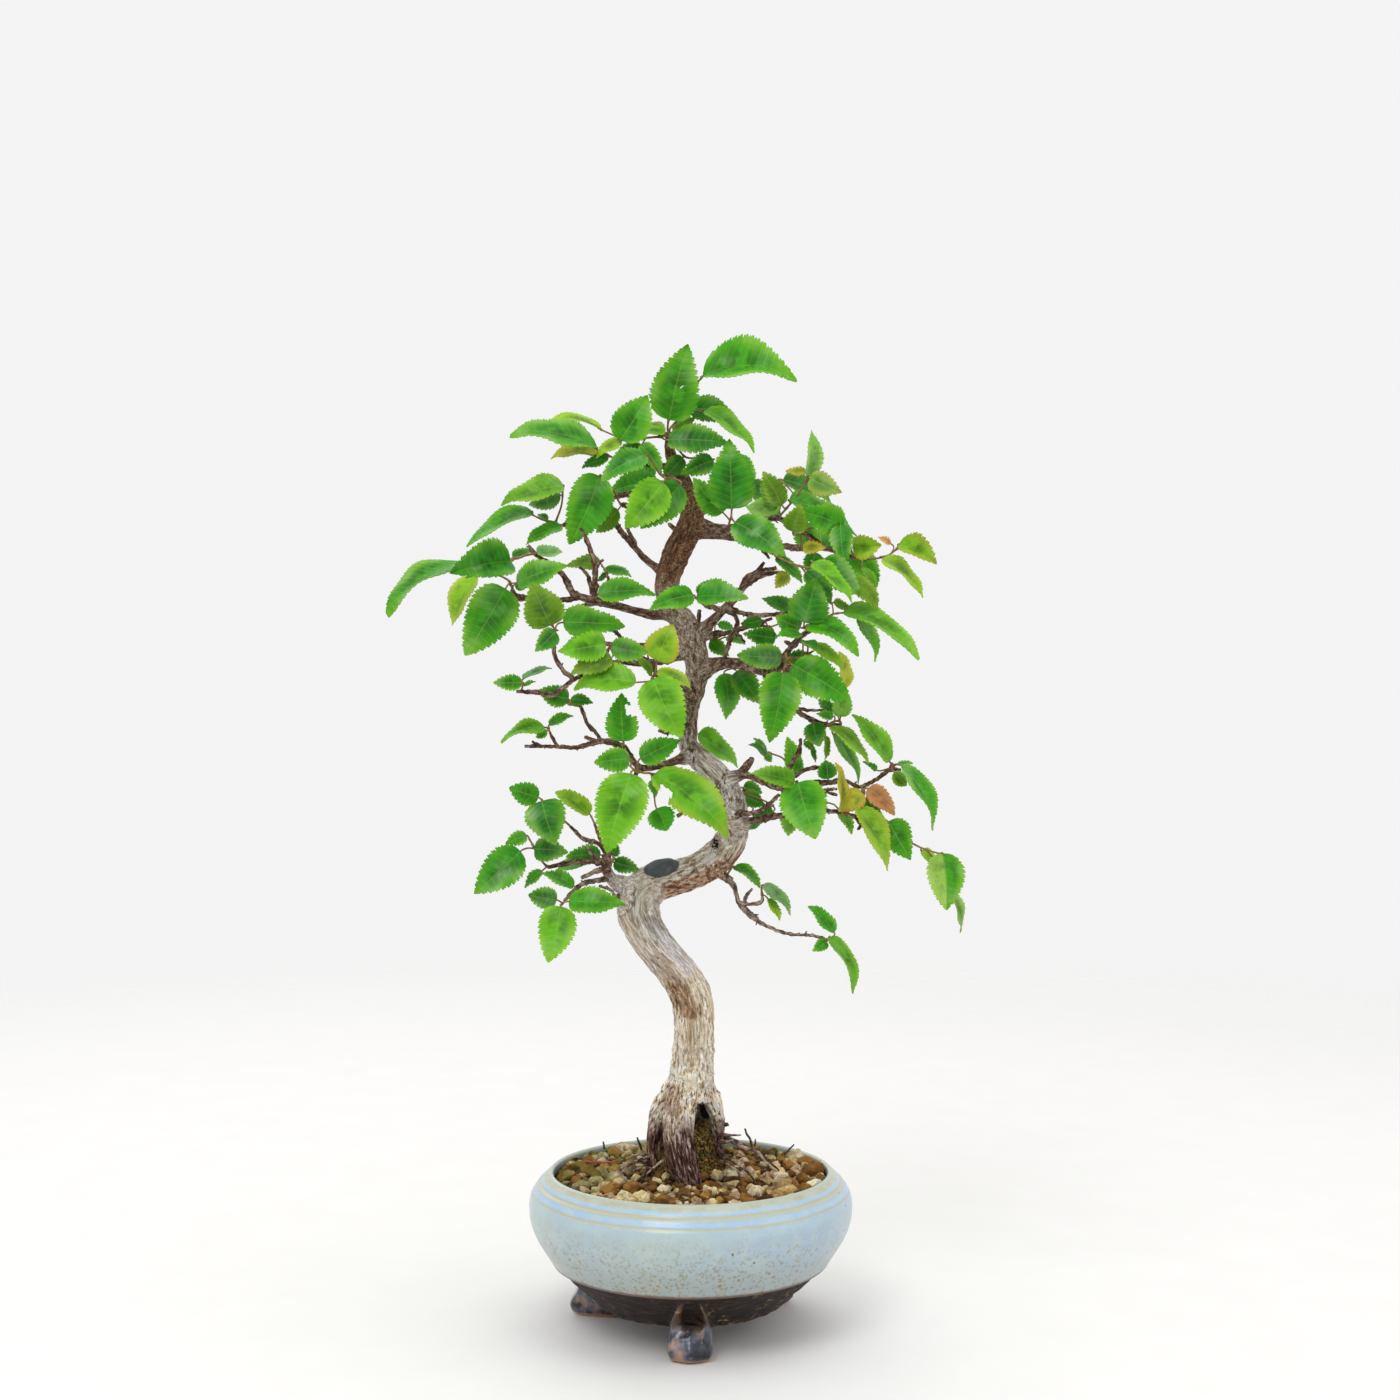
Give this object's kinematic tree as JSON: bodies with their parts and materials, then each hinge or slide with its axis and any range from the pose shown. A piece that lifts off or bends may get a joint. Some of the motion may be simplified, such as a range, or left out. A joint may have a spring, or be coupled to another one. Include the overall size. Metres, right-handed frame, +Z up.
{
  "type": "korean hornbeam bonsai",
  "caption": "Korean hornbeam bonsai with a winding trunk, open branches and toothed green leaves, planted in a round glazed bowl on feet.",
  "frame": {"origin": "on the ground plane under the middle of the bounding box, on the axis of the bowl", "axes": "+Z up along the bowl's axis; the tree is viewed from -Y, with +X to the viewer's right"},
  "size_m": [0.2234, 0.1318, 0.3961],
  "materials": {
    "glaze": "gloss",
    "mesh_plastic": "matt",
    "wire": "satin",
    "grit": "rough",
    "bark": "rough bark",
    "putty": "matt",
    "leaf": "satin"
  },
  "bodies": {
    "root": {"pot": "glaze", "drainage_mesh": "mesh_plastic", "drainage_wire": "wire", "soil": "grit", "tree_wood": "bark", "wound_putty": "putty", "shoot_top": "leaf", "shoot_top_right": "leaf", "shoot_top_left": "leaf", "shoot_crown_left": "leaf", "shoot_crown_front": "leaf", "shoot_crown_mid": "leaf", "shoot_crown_right": "leaf", "shoot_left_near": "leaf", "shoot_left_shoulder": "leaf", "shoot_left_far": "leaf", "shoot_left_mid": "leaf", "shoot_left_low": "leaf", "shoot_left_twigs": "leaf", "shoot_branch_left": "leaf", "shoot_trunk_front": "leaf", "shoot_left_spur": "leaf", "shoot_front_low": "leaf", "shoot_twig_end": "leaf", "shoot_twig_top": "leaf", "shoot_bare_twig": "leaf", "shoot_spur_left": "leaf", "shoot_spur_right": "leaf", "shoot_crook_far": "leaf", "shoot_crook_top": "leaf", "shoot_crook_tip": "leaf", "shoot_crook_spur": "leaf", "shoot_crook_low": "leaf", "shoot_trunk_right": "leaf", "shoot_low_right": "leaf", "shoot_low_right_tip": "leaf", "shoot_right_crown": "leaf", "shoot_right_front": "leaf", "shoot_right_reach": "leaf", "shoot_right_belly": "leaf", "shoot_right_heart": "leaf", "shoot_right_drop": "leaf", "shoot_inner_right": "leaf", "shoot_mid_right": "leaf", "shoot_far_right": "leaf", "shoot_autumn": "leaf", "shoot_tip_right": "leaf", "shoot_low_heart": "leaf", "shoot_low_shade": "leaf", "shoot_twig_shade": "leaf", "shoot_spur_shade": "leaf", "shoot_behind_right": "leaf", "shoot_behind_neck": "leaf", "shoot_under_branch": "leaf", "shoot_inner_low": "leaf", "shoot_rear_crown": "leaf", "shoot_rear_top": "leaf", "shoot_rear_right": "leaf", "shoot_rear_middle": "leaf", "shoot_rear_left": "leaf"}
  },
  "joints": []
}
